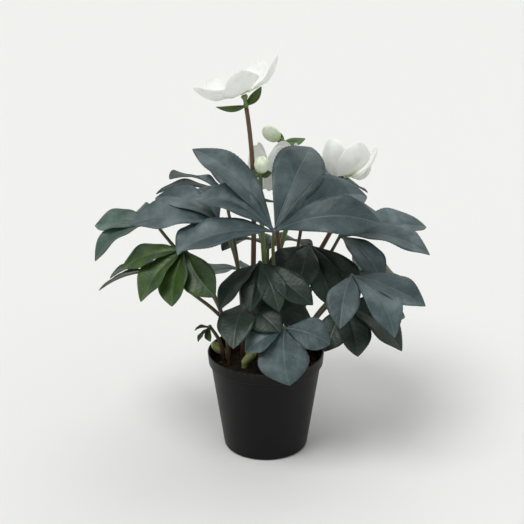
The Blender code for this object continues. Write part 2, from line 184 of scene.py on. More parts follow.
def rounded(points, radius, steps=4):
    """A profile with each inner corner turned into a short arc of about the radius."""
    smooth = [points[0]]
    for before, corner, after in zip(points, points[1:], points[2:]):
        corner, before, after = Vector(corner), Vector(before), Vector(after)
        reach = min(radius, (before - corner).length * 0.45, (after - corner).length * 0.45)
        start = corner + (before - corner).normalized() * reach
        end = corner + (after - corner).normalized() * reach
        for step in range(steps + 1):
            t = step / steps
            smooth.append(tuple(start * (1 - t) ** 2 + corner * 2 * t * (1 - t) + end * t * t))
    return smooth + [points[-1]]


band_low = POT_HEIGHT - POT_BAND_HEIGHT
wall_top = POT_RIM_RADIUS - POT_BAND_STEP
inner_base = POT_BASE_RADIUS - POT_WALL
pot_outline = [
    (0, POT_WALL),
    (inner_base, POT_WALL),
    (wall_top - POT_WALL, band_low),
    (POT_RIM_RADIUS - POT_WALL * 1.3, POT_HEIGHT - 1 * MM),
    (POT_RIM_RADIUS - POT_WALL, POT_HEIGHT),
    (POT_RIM_RADIUS, POT_HEIGHT),
    (POT_RIM_RADIUS - 1 * MM, band_low + 0.3 * MM),
    (POT_RIM_RADIUS - 1.8 * MM, band_low - 0.3 * MM),
    (wall_top, band_low - 0.6 * MM),
    (POT_BASE_RADIUS + 0.5 * MM, 2 * MM),
    (POT_BASE_RADIUS - 1.5 * MM, 0),
    (0, 0),
]
pot_shape = scene_object("pot_shape", turned_mesh("pot_shape", rounded(pot_outline, POT_CORNER), POT_SIDES))
drills = bpy.data.collections.new("drills")
bpy.context.scene.collection.children.link(drills)
for index in range(DRAIN_HOLES):
    bearing = math.tau * (index + 0.5) / DRAIN_HOLES
    drill_place = Matrix.Translation((math.cos(bearing) * DRAIN_CIRCLE, math.sin(bearing) * DRAIN_CIRCLE, 0))
    shape = bmesh.new()
    bmesh.ops.create_cone(
        shape, cap_ends=True, segments=24, radius1=DRAIN_RADIUS, radius2=DRAIN_RADIUS,
        depth=POT_WALL * 4, matrix=drill_place)
    drills.objects.link(bpy.data.objects.new("drill", meshed("drill", shape)))
take = pot_shape.modifiers.new("drain", "BOOLEAN")
take.operand_type = "COLLECTION"
take.collection = drills
take.solver = "MANIFOLD"
pot_mesh = baked(pot_shape)
for drill in list(drills.objects):
    bpy.data.objects.remove(drill)
bpy.data.collections.remove(drills)

# Injection-moulded polypropylene: black, satin, a fine orange-peel skin, with peat dust on the rim
# and a few faint scuffs that run round the wall. A Scale counts grains to the metre, so 1400 is 0.7 mm.
pot_plastic, tree, shader, place = new_material(
    "polypropylene_moulded_black", IOR=1.49, Specular_IOR_Level=0.16)
dust = add_node(tree, "ShaderNodeTexNoise", {"Vector": place, "Scale": 240, "Detail": 8, "Roughness": 0.75})
height = add_node(tree, "ShaderNodeSeparateXYZ", {"Vector": place}, "Z")
near_rim = add_node(
    tree, "ShaderNodeMapRange", {"Value": height, 1: POT_HEIGHT - 18 * MM, 2: POT_HEIGHT, 3: 0.1, 4: 0.62})
dusty = add_node(tree, "ShaderNodeMath", {0: dust, 1: near_rim}, operation="MULTIPLY")
dust_stops = ((0.12, "0b0c0c"), (0.3, "161514"), (0.4, "3a342b"))
dust_colour = add_node(tree, "ShaderNodeValToRGB", {"Fac": dusty}, stops=dust_stops)
round_wall = add_node(tree, "ShaderNodeMapping", {"Vector": place, "Scale": (40, 40, 900)})
scuff = add_node(
    tree, "ShaderNodeTexNoise", {"Vector": round_wall, "Scale": 1, "Detail": 5, "Roughness": 0.6})
worn = add_node(tree, "ShaderNodeMapRange", {"Value": scuff, 1: 0.4, 2: 0.7, 3: 0.42, 4: 0.5})
tree.links.new(worn, shader.inputs["Roughness"])
skin = add_node(tree, "ShaderNodeTexNoise", {"Vector": place, "Scale": 1400, "Detail": 2})
painted(tree, shader, dust_colour, skin, 0.12, 0.2 * MM)
grown("pot_moulded", pot_mesh, "pot", "pot_plastic", pot_plastic)
pot_mesh.set_sharp_from_angle(angle=math.radians(POT_SHARP))

# Peat: a moist, dark growing mix that fills the pot, its top domed and crumbly. Crumbs, straws of coir
# and a few grains of white expanded perlite lie loose on it.
SOIL_TOP = 93 * MM
SOIL_DOME = 1.5 * MM
GAP = 0.3 * MM


def speckled(name, scale, detail, stops, **values):
    """A material whose colour steps through the stops over a fine noise; its last value is that colour."""
    made, tree, shader, place = new_material(name, **values)
    noise = add_node(tree, "ShaderNodeTexNoise", {"Vector": place, "Scale": scale, "Detail": detail})
    colour = add_node(tree, "ShaderNodeValToRGB", {"Fac": noise}, stops=stops)
    painted(tree, shader, colour)
    return made, tree, shader, colour


# Moist peat is nearly black and matt between paler fibres, perlite is a dull porous white, and coir is
# dry and straw-coloured.
peat, tree, shader, place = new_material("peat_moist", Roughness=0.95, Specular_IOR_Level=0.25)
grain = add_node(tree, "ShaderNodeTexNoise", {"Vector": place, "Scale": 500, "Detail": 6, "Roughness": 0.7})
peat_stops = ((0.3, "120e0b"), (0.5, "281e17"), (0.62, "423226"), (0.75, "70583f"))
peat_colour = add_node(tree, "ShaderNodeValToRGB", {"Fac": grain}, stops=peat_stops)
painted(tree, shader, peat_colour, grain, 0.8, 0.6 * MM)

perlite, tree, shader, place = new_material("perlite_expanded", Roughness=0.85)
pores = add_node(tree, "ShaderNodeTexVoronoi", {"Vector": place, "Scale": 2500})
perlite_stops = ((0, "a9a59a"), (0.4, "d9d6cd"))
painted(tree, shader, add_node(tree, "ShaderNodeValToRGB", {"Fac": pores}, stops=perlite_stops))

coir = speckled("coir_fibre", 700, 3, ((0.35, "4a3724"), (0.65, "8b704c")), Roughness=0.8)[0]


def new_group(name, **inputs):
    """A Geometry Nodes tree for copies of a shape, and its inputs, which are given as name=kind."""
    group = bpy.data.node_groups.new(name, "GeometryNodeTree")
    for label, kind in inputs.items():
        group.interface.new_socket(label, in_out="INPUT", socket_type="NodeSocket" + kind)
    group.interface.new_socket("Copies", in_out="OUTPUT", socket_type="NodeSocketGeometry")
    return group, group.nodes.new("NodeGroupInput").outputs


def close_group(group, copies, finish):
    """Makes the copies real, gives them their finish and ends the tree."""
    real = add_node(group, "GeometryNodeRealizeInstances", {"Geometry": copies})
    coated = add_node(group, "GeometryNodeSetMaterial", {"Geometry": real, "Material": finish})
    group.links.new(coated, group.nodes.new("NodeGroupOutput").inputs["Copies"])


def through_nodes(source, group, values):
    """The source object through a Geometry Nodes tree with its inputs given by name, as a plain mesh."""
    step = source.modifiers.new("nodes", "NODES")
    step.node_group = group
    for item in group.interface.items_tree:
        if item.in_out == "INPUT" and item.name in values:
            step[item.identifier] = values[item.name]
    return baked(source)


# Litter: a ball of twenty faces on each random point of a surface, turned and stretched at random.
LITTER, given = new_group(
    "scattered_litter", Surface="Geometry", Density="Float", Smallest="Vector", Largest="Vector",
    Turn="Vector", Seed="Int", Finish="Material")
points = add_node(
    LITTER, "GeometryNodeDistributePointsOnFaces",
    {"Mesh": given["Surface"], "Density": given["Density"], "Seed": given["Seed"]})
ball = add_node(LITTER, "GeometryNodeMeshIcoSphere", {"Radius": 0.5, "Subdivisions": 1})
turn = add_node(
    LITTER, "FunctionNodeRandomValue", {1: given["Turn"], "Seed": given["Seed"]}, data_type="FLOAT_VECTOR")
size = add_node(
    LITTER, "FunctionNodeRandomValue", {0: given["Smallest"], 1: given["Largest"], "Seed": 4},
    data_type="FLOAT_VECTOR")
crumbs = add_node(
    LITTER, "GeometryNodeInstanceOnPoints",
    {"Points": points, "Instance": ball, "Rotation": turn, "Scale": size})
close_group(LITTER, crumbs, given["Finish"])

peat_reach = wall_top - POT_WALL
slope = (peat_reach - inner_base) / (band_low - POT_WALL)
edge_height = SOIL_TOP - SOIL_DOME * 1.5
peat_outline = [
    (0, SOIL_TOP),
    (peat_reach * 0.6, SOIL_TOP - 0.2 * MM),
    (peat_reach - 5 * MM, SOIL_TOP - SOIL_DOME),
    (inner_base + slope * (edge_height - POT_WALL) - GAP * 1.6, edge_height),
    (inner_base - GAP * 1.6, POT_WALL + GAP),
    (0, POT_WALL + GAP),
]
grown("peat_ball", turned_mesh("peat_ball", rounded(peat_outline, 1 * MM), 64), "soil", "potting_soil", peat)

shape = bmesh.new()
bmesh.ops.create_circle(shape, cap_ends=True, segments=48, radius=peat_reach - 1.6 * MM)
bmesh.ops.translate(shape, verts=shape.verts, vec=(0, 0, SOIL_TOP - 0.9 * MM))
peat_top = meshed("peat_top", shape)

# Each litter: how many lie on a square metre, the smallest and largest size in millimetres, how far it
# turns about X, Y and Z, and the seed.
for name, finish, density, smallest, largest, turn, seed in (
    ("peat_crumbs", peat, 210000, (0.7, 0.7, 0.7), (2.9, 2.4, 2.0), (6.3, 6.3, 6.3), 3),
    ("perlite_crumbs", perlite, 3600, (0.6, 0.6, 0.6), (1.9, 1.6, 1.3), (6.3, 6.3, 6.3), 8),
    ("coir_straws", coir, 26000, (2.0, 0.2, 0.2), (7.0, 0.5, 0.4), (0.4, 0.4, 6.3), 5),
):
    values = {"Density": density, "Smallest": place_at(smallest), "Largest": place_at(largest)}
    values.update({"Turn": turn, "Seed": seed, "Finish": finish})
    mesh = through_nodes(scene_object(name + "_bed", peat_top.copy()), LITTER, values)
    grown(name, mesh, "soil", "potting_soil", smooth=False)

# Leaves: each is a smooth reddish petiole from the crown and a pedate blade of leathery leaflets that
# meet at one point. The edges are finely toothed towards the tip, and the veins sit in shallow grooves.
HOLE_DEPTH = 12 * MM
PETIOLE_RADIUS = 2.2 * MM
PETIOLE_TAPER = 0.28
STALK_RADIUS = 2.8 * MM
STALK_TAPER = 0.26
STEM_FOOT = 1.04
HUB_RADIUS = 2.6 * MM
HUB_BALL = 0.76
BLADE_THICKNESS = 0.55 * MM
LEAFLET_ROWS = 96
LEAFLET_COLUMNS = 12
LEAFLET_STALK = 2.2 * MM
LEAFLET_ROLL = 0.2
ROOT_IN_HUB = 1.3 * MM
TIP_CROWDING = 1.2
TOOTH = 0.032
TEETH = 25
TOOTHED_FROM = 0.28
VEIN_PAIRS = 8
VEIN_SLANT = 0.24
VEIN_RELIEF = 0.3 * MM
MIDRIB_RELIEF = 0.5 * MM
RIB_STEPS = 24
SHEET_PLACE = ("run", "side", "span")

Leaf = namedtuple("Leaf", "name root hub face leaflets tone")

# Leaf: root on the soil, hub, the way the blade faces (bearing, tilt), then its leaflets as
# (bearing, rise, length, width), and its tone. Bearings run from +X towards +Y, so 270 points at the viewer.
# The tone picks the skin: the slate tone is the lit copy of the mature skin, the deep tone its painted-shade
# copy.
LEAVES = (
    Leaf("leaf_crown_front", (16, -14), (8, -35, 246), (270, 35), (
        (196, 1, 92, 38), (156, 22, 88, 42), (142, 32, 124, 38),
        (62, 38, 112, 52), (26, 14, 112, 44), (352, 8, 102, 42)), "slate"),
    Leaf("leaf_crown_left", (-24, -2), (-46, 4, 242), (250, 34), (
        (186, 4, 88, 44), (150, 16, 80, 34), (112, 14, 74, 32), (226, -16, 58, 28)), "slate"),
    Leaf("leaf_left_low", (-38, -10), (-80, -20, 222), (240, 38), (
        (178, -16, 66, 32), (214, -38, 66, 36), (254, -44, 60, 36), (306, -30, 60, 34)), "fresh"),
    Leaf("leaf_left_far", (-38, 12), (-112, 26, 234), (230, 38), (
        (204, -18, 70, 36), (164, -4, 66, 34), (122, 0, 60, 30)), "sage"),
    Leaf("leaf_left_back", (-34, 26), (-98, 50, 172), (160, 15), (
        (196, -2, 78, 30), (160, -8, 74, 34), (122, -10, 66, 30)), "fresh"),
    Leaf("leaf_right_top", (32, 14), (76, 34, 218), (330, 12), (
        (344, -4, 92, 40), (18, 2, 96, 42), (54, 4, 84, 38), (306, -18, 72, 34)), "slate"),
    Leaf("leaf_back_top_left", (-24, 34), (-44, 84, 248), (100, 12), (
        (94, 2, 84, 40), (134, 2, 86, 40), (174, 2, 72, 34), (54, 4, 74, 32)), "slate"),
    Leaf("leaf_back_top_right", (26, 36), (46, 102, 250), (80, 15), (
        (62, 0, 80, 38), (104, 2, 80, 38), (142, 4, 48, 28), (20, -4, 70, 32)), "slate"),
    Leaf("leaf_inner_front", (-6, -22), (-6, -16, 207), (260, 20), (
        (216, -28, 62, 28), (252, -40, 52, 26), (290, -34, 56, 28), (328, -24, 68, 30)), "deep"),
    Leaf("leaf_inner_back", (2, 34), (2, 70, 196), (90, 15), (
        (50, -14, 70, 32), (92, -16, 76, 34), (134, -14, 70, 32)), "deep"),
    Leaf("leaf_inner_left", (-12, 3), (-20, -17, 165), (270, 32), (
        (259, -15, 64, 38), (305, -7, 56, 38), (351, -10, 66, 32)), "deep"),
    Leaf("leaf_inner_right", (15, 30), (45, 34, 209), (270, 38), (
        (208, -36, 57, 35), (250, -31, 59, 36), (292, -37, 74, 31), (334, -41, 74, 34)), "deep"),
    Leaf("leaf_front_small", (16, -36), (18, -52, 152), (270, 35), (
        (278, -53, 54, 50), (203, -20, 44, 30), (340, -12, 46, 34)), "slate"),
    Leaf("leaf_right_low", (32, -22), (78, -14, 160), (320, 20), (
        (240, -38, 52, 32), (284, -34, 58, 34), (330, -22, 72, 36), (14, -12, 68, 34)), "deep"),
    Leaf("leaf_right_front", (38, -4), (84, -34, 200), (315, 20), (
        (258, -26, 66, 32), (300, -22, 78, 36), (342, -14, 76, 36)), "slate"),
    Leaf("leaf_right_back", (40, 14), (92, 52, 168), (30, 15), (
        (30, -14, 76, 36), (74, -12, 72, 34), (346, -14, 66, 32)), "fresh"),
    Leaf("leaf_back_low", (-10, 44), (-20, 98, 156), (90, 20), (
        (88, -22, 76, 36), (42, -18, 70, 32), (134, -18, 72, 34)), "sage"),
    Leaf("leaf_rim_left", (-44, 0), (-57, -4, 133), (200, 25), (
        (184, -10, 15, 8), (222, -35, 19, 10), (268, -38, 15, 9)), "fresh"),
)


def direction(bearing, rise):
    """The unit vector that points to a bearing, at a rise above the level, both in degrees."""
    turn, climb = math.radians(bearing), math.radians(rise)
    return Vector((math.cos(turn) * math.cos(climb), math.sin(turn) * math.cos(climb), math.sin(climb)))


def leaflet_outline(along):
    """Half the width at along, as a share of the widest: narrow at the stalk, widest past the middle."""
    return math.sin(math.pi * along**1.25) ** 0.85 if 0 < along < 1 else 0


def tooth_at(along):
    """How far the edge stands out at along: teeth that lean forward, from near a third of its length on."""
    if not TOOTHED_FROM < along < 0.985:
        return 0
    saw = (along * TEETH) % 1
    fade = min(1, (along - TOOTHED_FROM) * 6)
    return TOOTH * fade * (saw / 0.75 if saw < 0.75 else (1 - saw) / 0.25) - TOOTH * 0.5 * fade


def vein_height(along, across, width):
    """The relief of a leathery blade: a groove on the midrib, and one on each side vein."""
    from_rib = abs(across)
    groove = MIDRIB_RELIEF * math.exp(-((from_rib * width / (1.6 * MM)) ** 2)) * (1 - 0.6 * along)
    line = (along - from_rib * VEIN_SLANT) * VEIN_PAIRS % 1
    near = min(line, 1 - line)
    side = VEIN_RELIEF * math.exp(-((near / 0.13) ** 2)) * math.sin(math.pi * min(1, from_rib * 1.02)) ** 0.6
    swell = VEIN_RELIEF * 0.8 * math.sin(math.pi * line) * math.sin(math.pi * min(1, from_rib * 1.05))
    return swell * min(1, along * 5) - groove - side * min(1, along * 5)


def blade_axes(bearing, rise, face, roll):
    """The way a blade runs, its side and its upper face, which is as near to the face as it can be."""
    forward = direction(bearing, rise)
    lift = Matrix.Rotation(roll, 3, forward) @ (face - forward * face.dot(forward)).normalized()
    return forward, lift.cross(forward), lift


def leaflet_surface(hub, face, leaflet):
    """The mid surface of one leaflet as a function of along and across, its half width, and its underside.

    Each leaflet draws its own arch, droop, fold, sideways sweep and edge wave.
    """
    bearing, rise, length, width = leaflet
    forward, side, lift = blade_axes(bearing, rise, face, LEAFLET_ROLL)
    length, half_width = length * MM, width * MM / 2
    draw = random.Random(f"{bearing} {rise} {length}")
    arch, droop = draw.uniform(0.06, 0.13) * length, draw.uniform(0.04, 0.2) * length
    fold, sweep, phase = draw.uniform(0.14, 0.3), draw.uniform(-0.07, 0.07), draw.uniform(0, 6)

    def half_at(along):
        return max(half_width * leaflet_outline(along), LEAFLET_STALK / 2 if along < 0.5 else 0)

    def point_at(along, across):
        half = half_at(along)
        half *= 1 + tooth_at(along) * abs(across) ** 8
        run = along + 0.05 * abs(across) * math.sin(math.pi * along)
        height = arch * 4 * run * (1 - run) - droop * run**3 + fold * abs(across) * half
        height += 0.09 * half * across * abs(across) * math.sin(13 * run + phase) * min(1, 3 * run)
        height += vein_height(along, across, half) * min(1, half / (3 * MM))
        aside = half * across + sweep * length * math.sin(math.pi * run * 0.8)
        return hub + forward * (ROOT_IN_HUB + length * run) + side * aside + lift * height

    return point_at, half_at, -lift


def sheet_mesh(name, point_at, half_at, rows, columns, thickness, crowd=1.4):
    """A closed thin sheet laid on point_at(along, across), its columns crowded towards the midrib.

    Its underside takes the second material. The attributes run, side and span tell the material where
    along and across the sheet a point lies, and half the width there.
    """
    shape = bmesh.new()
    layers = [shape.verts.layers.float.new(label) for label in SHEET_PLACE]
    lines = []
    for row in range(rows + 1):
        along = 1 - (1 - row / rows) ** TIP_CROWDING
        line = []
        for column in range(columns + 1):
            even = 2 * column / columns - 1
            across = math.copysign(abs(even) ** crowd, even)
            vert = shape.verts.new(point_at(along, across))
            for layer, value in zip(layers, (along, across, half_at(along))):
                vert[layer] = value
            line.append(vert)
        lines.append(line)
    for lower, upper in zip(lines, lines[1:]):
        for corners in zip(lower, lower[1:], upper[1:], upper):
            shape.faces.new(corners)
    bmesh.ops.remove_doubles(shape, verts=shape.verts, dist=0.02 * MM)
    mesh = meshed(name, shape)
    sheet = scene_object(name, mesh)
    mesh.materials.append(None)
    mesh.materials.append(None)
    wall = sheet.modifiers.new("thickness", "SOLIDIFY")
    wall.thickness = thickness
    wall.offset = 0
    wall.material_offset = 1
    return baked(sheet)


def tube_mesh(name, points, radii, sides=12, finish=0):
    """A closed round tube through the points, its radius changing along it; run goes from 0 to 1."""
    shape = bmesh.new()
    layers = [shape.verts.layers.float.new(label) for label in SHEET_PLACE]
    across = (points[1] - points[0]).orthogonal().normalized()
    rings = []
    for index, (point, radius) in enumerate(zip(points, radii)):
        ahead = points[min(index + 1, len(points) - 1)] - points[max(index - 1, 0)]
        ahead.normalize()
        across = (across - ahead * across.dot(ahead)).normalized()
        up = ahead.cross(across)
        ring = []
        for step in range(sides):
            turn = math.tau * step / sides
            vert = shape.verts.new(point + (across * math.cos(turn) + up * math.sin(turn)) * radius)
            for layer, value in zip(layers, (index / (len(points) - 1), 0, radius)):
                vert[layer] = value
            ring.append(vert)
        rings.append(ring)
    for lower, upper in zip(rings, rings[1:]):
        for corners in zip(lower, lower[1:] + lower[:1], upper[1:] + upper[:1], upper):
            shape.faces.new(corners)
    shape.faces.new(rings[0][::-1])
    shape.faces.new(rings[-1])
    return meshed(name, shape, finish)


def ball_mesh(name, centre, radii, axis, segments=16, rings=10, finish=0):
    """A rounded knob with its third radius along the axis."""
    shape = bmesh.new()
    for label in SHEET_PLACE:
        shape.verts.layers.float.new(label)
    turned = axis.to_track_quat("Z", "X").to_matrix().to_4x4()
    at = Matrix.Translation(centre) @ turned @ Matrix.Diagonal((*radii, 1))
    bmesh.ops.create_uvsphere(shape, u_segments=segments, v_segments=rings, radius=1, matrix=at)
    return meshed(name, shape, finish)


def joined(name, meshes):
    """Several meshes as one, their attributes and material numbers kept."""
    shape = bmesh.new()
    for mesh in meshes:
        shape.from_mesh(mesh)
        bpy.data.meshes.remove(mesh)
    return meshed(name, shape)


def stem_path(root, top, arrive, steps):
    """Points from under the soil at root up to top: it rises steeply and reaches top along arrive."""
    ground = Vector((root[0] * MM, root[1] * MM, SOIL_TOP + 3 * MM))
    reach = (top - ground).length
    first = ground + UP * reach * 0.45
    second = top - arrive * reach * 0.3
    points = [ground - UP * (HOLE_DEPTH + 2.5 * MM)]
    for step in range(steps + 1):
        t = step / steps
        s = 1 - t
        points.append(ground * s**3 + first * 3 * s * s * t + second * 3 * s * t * t + top * t**3)
    return points


def tapered(radius, taper, count):
    """The radii along a stem, from its stout foot to a top that is slimmer by the taper."""
    return [radius * (STEM_FOOT - taper * step / (count - 1)) for step in range(count)]


def faded(tree, strength, *falls):
    """A strength that falls smoothly to nothing; each fall is a value, and where it starts and ends."""
    for value, start, end in falls:
        span = {"Value": value, 1: start, 2: end, 3: 1, 4: 0}
        fall = add_node(tree, "ShaderNodeMapRange", span, interpolation_type="SMOOTHSTEP")
        strength = add_node(tree, "ShaderNodeMath", {0: strength, 1: fall}, operation="MULTIPLY")
    return strength


def tinted(tree, base, code, strength, *falls):
    """The base colour with a hex colour laid over it at a strength that fades."""
    layers = {0: faded(tree, strength, *falls), 6: base, 7: linear(code)}
    return add_node(tree, "ShaderNodeMix", layers, 2, data_type="RGBA")


def leaf_material(name, tones, vein, speck, roughness, veins=1.0, raised=False):
    """A leathery leaf skin: mottled tones, painted shade at each leaflet's foot, a paler midrib and side
    veins, a fine net, a few pale specks.

    It reads run, side and span from the leaf, so the veins follow each leaflet.
    """
    made, tree, shader, place = new_material(
        name, Roughness=roughness, IOR=1.42, Coat_Weight=0.12, Coat_Roughness=0.35)
    run, side, span = [
        add_node(tree, "ShaderNodeAttribute", {}, "Fac", attribute_name=label) for label in SHEET_PLACE]
    aside = add_node(tree, "ShaderNodeMath", {0: side}, operation="ABSOLUTE")
    from_rib = add_node(tree, "ShaderNodeMath", {0: aside, 1: span}, operation="MULTIPLY")
    slanted = add_node(tree, "ShaderNodeMath", {0: aside, 1: -VEIN_SLANT, 2: run}, operation="MULTIPLY_ADD")
    between = add_node(tree, "ShaderNodeMath", {0: slanted, 1: 0.5 / VEIN_PAIRS}, operation="PINGPONG")
    net = add_node(
        tree, "ShaderNodeTexVoronoi", {"Vector": place, "Scale": 420}, feature="DISTANCE_TO_EDGE")
    grit = add_node(tree, "ShaderNodeTexVoronoi", {"Vector": place, "Scale": 260})
    mottle, broad, pucker = [
        add_node(
            tree, "ShaderNodeTexNoise",
            {"Vector": place, "Scale": scale, "Detail": detail, "Roughness": rough})
        for scale, detail, rough in ((55, 6, 0.6), (16, 1, 0.5), (240, 2, 0.5))]
    both = add_node(tree, "ShaderNodeMix", {0: 0.5, 2: mottle, 3: broad})
    colour = add_node(tree, "ShaderNodeValToRGB", {"Fac": both}, stops=list(zip((0.36, 0.5, 0.65), tones)))
    net_line = [(net, 0, 0.09)]
    side_vein = [(between, 0, 0.09 / VEIN_PAIRS), (aside, 0.55, 0.95)]
    for code, strength, falls in (
        # Painted shade: each leaflet darkens to its darkest tone towards its foot, where its neighbours
        # shade it; partly also a real darker base.
        (tones[0], 0.5, [(run, 0, 0.65)]),
        (vein, 0.1 * veins, net_line),
        (vein, 0.11 * veins, side_vein),
        (vein, 0.32 * veins, [(from_rib, 0.25 * MM, 0.95 * MM)]),
        (speck, 0.55, [(grit, 0.06, 0.1), (mottle, 0.4, 0.46)]),
    ):
        colour = tinted(tree, colour, code, strength, *falls)
    lines = {0: faded(tree, 0.35, *net_line), 1: faded(tree, 0.55, *side_vein)}
    lines = add_node(tree, "ShaderNodeMath", lines, operation="ADD")
    relief = add_node(tree, "ShaderNodeMath", {0: pucker, 1: -1.2, 2: lines}, operation="MULTIPLY_ADD")
    painted(tree, shader, colour, relief, 0.4 if raised else -0.4, 0.6 * MM)
    return made


def stem_material(name, low, high, speckle):
    """A smooth stem skin that grades from its foot to its top, streaked along and finely speckled."""
    made, tree, shader, place = new_material(name, Roughness=0.45, IOR=1.4, Coat_Weight=0.15)
    run = add_node(tree, "ShaderNodeAttribute", {}, "Fac", attribute_name="run")
    grade = add_node(tree, "ShaderNodeValToRGB", {"Fac": run}, stops=((0, low), (1, high)))
    stretch = add_node(tree, "ShaderNodeMapping", {"Vector": place, "Scale": (1, 1, 0.12)})
    streak = add_node(tree, "ShaderNodeTexNoise", {"Vector": stretch, "Scale": 900, "Detail": 3})
    faint = add_node(tree, "ShaderNodeMath", {0: streak, 1: 0.5}, operation="MULTIPLY")
    layers = {0: faint, 6: grade, 7: linear(speckle)}
    colour = add_node(tree, "ShaderNodeMix", layers, 2, data_type="RGBA")
    painted(tree, shader, colour, streak, 0.15, 0.3 * MM)
    return made


# The mature leaves come in lit and shaded copies of one skin. The slate tone, for leaves that get the light,
# is the lit copy, its waxy slate cast partly a painted reflection of the pale sky; the deep tone, for the
# inner leaves, is painted shade, a darker copy, though partly also the darker green of older leaves. The
# outermost leaves are greener and the young ones a fresh green; all are a paler olive below, with raised
# veins. Petioles are red-brown, green towards the blade.
LEAF_TONES = {
    tone: leaf_material("leaf_skin_" + tone, *look)
    for tone, *look in (
        ("slate", ("223335", "3a4a4c", "606f70"), "7f8f8e", "b4bdba", 0.52, 0.55),
        ("sage", ("25392f", "384e45", "5b7067"), "7c9287", "b4bdb4", 0.5, 0.6),
        # Painted shade: the deep tones are darkened for leaves in the shade of the others.
        ("deep", ("0e1c14", "18291e", "293d30"), "52695a", "a0aba3", 0.46, 0.7),
        ("fresh", ("0f260c", "203a15", "40591e"), "728857", "a0ab93", 0.4, 0.8),
    )
}
leaf_under = leaf_material(
    "leaf_skin_under", ("46563b", "516245", "5e6e50"), "8f9a74", "8f9a74", 0.62, raised=True)
petiole_skin = stem_material("petiole_skin", "5a3a2c", "55603a", "3a2a1c")

for leaf in LEAVES:
    hub = place_at(leaf.hub)
    face = direction(leaf.face[0], 90 - leaf.face[1])
    meshes = []
    for leaflet in leaf.leaflets:
        point_at, half_at, below = leaflet_surface(hub, face, leaflet)
        meshes.append(
            sheet_mesh("leaflet", point_at, half_at, LEAFLET_ROWS, LEAFLET_COLUMNS, BLADE_THICKNESS))
        steps = range(RIB_STEPS + 1)
        rib_line = [point_at(0.94 * step / RIB_STEPS, 0) + below * 0.25 * MM for step in steps]
        rib_radii = [(1.15 * (1 - step / len(steps)) ** 1.4 + 0.22) * MM for step in steps]
        meshes.append(tube_mesh("rib", rib_line, rib_radii, 8, 1))
    meshes.append(ball_mesh("hub", hub, [HUB_RADIUS * HUB_BALL] * 3, face, finish=1))
    name = leaf.name + "_skin"
    slot_name = "leaf_young" if leaf.tone == "fresh" else "leaf_mature"
    grown(name, joined(name, meshes), leaf.name + "_blade", slot_name, LEAF_TONES[leaf.tone], leaf_under)
    outward = Vector((leaf.hub[0], leaf.hub[1], 0)).normalized()
    arrive = (UP * 0.75 + outward * 0.5 + face * 0.2).normalized()
    path = stem_path(leaf.root, hub - arrive * HUB_RADIUS * 0.6, arrive, 26)
    name = leaf.name + "_stem"
    petiole = tube_mesh(name, path, tapered(PETIOLE_RADIUS, PETIOLE_TAPER, len(path)))
    grown(name, petiole, leaf.name + "_petiole", "petiole", petiole_skin)

# Blooms: a stout speckled stalk, a green neck with bracts, five broad overlapping white sepals, and in
# the middle a tuft of stamens round the carpels, with a ring of green-yellow nectaries at its foot.
KNOT_RADIUS = 2.7 * MM
HEAD_RADIUS = 3.4 * MM
NECK = 8 * MM
NECK_SHAPE = ((-2.4, 1.8), (-1.2, 2.4), (0, 2.7), (1.4, 2.3), (3, 1.9), (5, 1.95), (6.5, 2.4))
HEAD_SHAPE = ((-0.3, 3.2), (1.4, 3.4), (2.6, 2.6))
ROOT_IN_DISC = 2.4 * MM
RECEPTACLE_RADIUS = 4.6 * MM
RECEPTACLE_HEIGHT = 1.6 * MM
SEPALS = 5
SEPAL_THICKNESS = 0.45 * MM
SEPAL_CUP = 0.34
SEPAL_WAVE = 1.1 * MM
SEPAL_VEIN = 0.07 * MM
SEPAL_LINES = 9
STAMENS = 70
NECTARIES = 14
CARPELS = 4
CARPEL_SHAPE = ((0, 0, 0.9), (3, 0.7, 1.2), (6, 0.6, 0.75), (9, 0.9, 0.35), (11.5, 2, 0.28))
CUSHION = (3.6 * MM, 3.6 * MM, 1.8 * MM)
GOLDEN_ANGLE = 2.39996
NECTARY_FLARE = ((0, 0.45), (1.6, 0.8), (3.4, 1.05), (3.9, 0.95))

Bloom = namedtuple("Bloom", "name root head axis sepal spread lean bracts")

# Bloom: root, head, the way it looks (bearing, tilt), sepal length and width, how far the sepals and the
# stamens spread, and bracts as (bearing, rise, length, width, roll). The shapes above are (height, radius)
# from foot to top, and a carpel's are (height, way out from the middle, radius).
BLOOMS = (
    Bloom("bloom_tall", (-14, 12), (-21, 24, 364), (160, 22), (49, 38), 84, 50, (
        (20, 48, 24, 12, 0.7), (200, 2, 31, 11, -0.6))),
    Bloom("bloom_mid", (22, 2), (10, 50, 258), (100, 8), (50, 34), 46, 8, (
        (190, 24, 22, 13, 0), (350, 20, 22, 13, 0))),
    Bloom("bloom_right", (20, 20), (84, 86, 262), (60, 20), (42, 38), 58, 34, (
        (160, 12, 24, 12, 0), (300, 12, 24, 12, 0))),
)


def bract_surface(base, axis, bract):
    """A small leafy bract that bows out from the stalk."""
    bearing, rise, length, width, roll = bract
    forward, side, lift = blade_axes(bearing, rise, axis, roll)

    def half_at(along):
        shoulder = math.sin(math.pi * along**0.9) ** 0.9 if 0 < along < 1 else 0
        return width * MM / 2 * max(shoulder, 0.25 * max(0, 1 - along / 0.3))

    def point_at(along, across):
        half = half_at(along)
        bow = 0.16 * length * MM * 4 * along * (1 - along)
        dip = 0.3 * abs(across) * half - 0.2 * MM * math.exp(-((across * half / (0.7 * MM)) ** 2))
        return base + forward * length * MM * along + side * half * across - lift * (bow - dip)

    return point_at, half_at


def around(axis, turn):
    """A unit vector square to the axis, at a turn round it."""
    return Matrix.Rotation(turn, 3, axis) @ axis.orthogonal().normalized()


